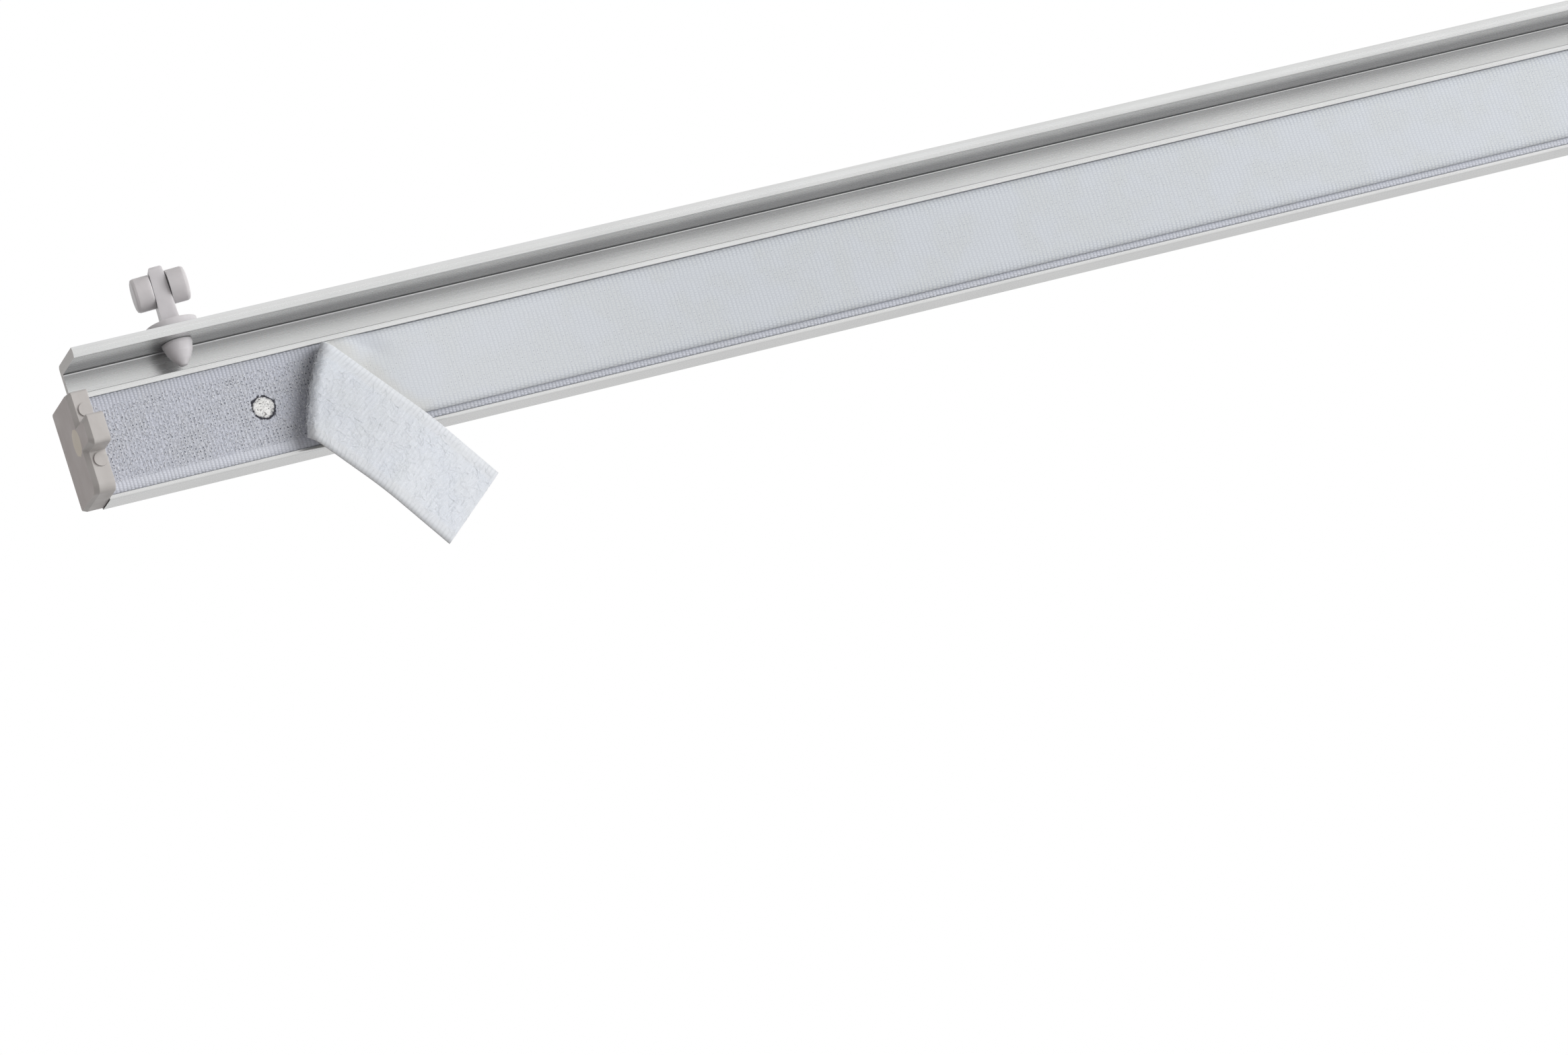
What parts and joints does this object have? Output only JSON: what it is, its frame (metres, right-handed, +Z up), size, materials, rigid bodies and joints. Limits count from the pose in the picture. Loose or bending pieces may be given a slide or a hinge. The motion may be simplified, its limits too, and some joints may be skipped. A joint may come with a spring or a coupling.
{
  "type": "panel curtain carrier rail",
  "caption": "Slim aluminium carrier rail for a sliding curtain panel, with swivelling roller gliders for a ceiling track, a hook-and-loop tape channel and moulded plug-in end caps.",
  "frame": {"origin": "mid-length of the rail, at the height of the roller axles and halfway through the depth of the top flange, where the track carries the rollers", "axes": "+X along the rail to its right end, +Y to its back, -Y to the tape side, +Z up"},
  "size_m": [0.6084, 0.0204, 0.0684],
  "materials": {
    "rail_aluminium": "satin light grey lacquer",
    "hook_tape_cloth": "woven polyamide with upright hooks",
    "loop_tape_cloth": "ribbed woven back and brushed loops",
    "rivet_aluminium": "rough bright head",
    "cap_plastic": "satin warm white, slightly translucent",
    "glider_plastic": "milky, slightly translucent",
    "roller_plastic": "milky, slightly translucent",
    "axle_steel": "bright drawn wire"
  },
  "bodies": {
    "carrier": {"rail": "rail_aluminium", "hook_tape": "hook_tape_cloth", "loop_tape": "loop_tape_cloth", "tape_rivet_left": "rivet_aluminium", "tape_rivet_right": "rivet_aluminium", "end_cap_left": "cap_plastic", "end_cap_right": "cap_plastic"},
    "glider_left": {"glider_body_left": "glider_plastic", "axle_left": "axle_steel"},
    "glider_right": {"glider_body_right": "glider_plastic", "axle_right": "axle_steel"},
    "wheel_left_outboard": {"roller_left_outboard": "roller_plastic"},
    "wheel_left_inboard": {"roller_left_inboard": "roller_plastic"},
    "wheel_right_outboard": {"roller_right_outboard": "roller_plastic"},
    "wheel_right_inboard": {"roller_right_inboard": "roller_plastic"}
  },
  "joints": [
    {"name": "swivel_left", "type": "hinge", "parent": "carrier", "child": "glider_left", "pos_m": [-0.2774, 0, 0], "axis": [0, 0, 1], "continuous": true},
    {"name": "swivel_right", "type": "hinge", "parent": "carrier", "child": "glider_right", "pos_m": [0.2774, 0, 0], "axis": [0, 0, 1], "continuous": true},
    {"name": "spin_left_outboard", "type": "hinge", "parent": "glider_left", "child": "wheel_left_outboard", "pos_m": [-0.2774, 0, 0], "axis": [0.9848, -0.1736, 0], "continuous": true},
    {"name": "spin_left_inboard", "type": "hinge", "parent": "glider_left", "child": "wheel_left_inboard", "pos_m": [-0.2774, 0, 0], "axis": [0.9848, -0.1736, 0], "continuous": true},
    {"name": "spin_right_outboard", "type": "hinge", "parent": "glider_right", "child": "wheel_right_outboard", "pos_m": [0.2774, 0, 0], "axis": [0.9848, -0.1736, 0], "continuous": true},
    {"name": "spin_right_inboard", "type": "hinge", "parent": "glider_right", "child": "wheel_right_inboard", "pos_m": [0.2774, 0, 0], "axis": [0.9848, -0.1736, 0], "continuous": true}
  ]
}
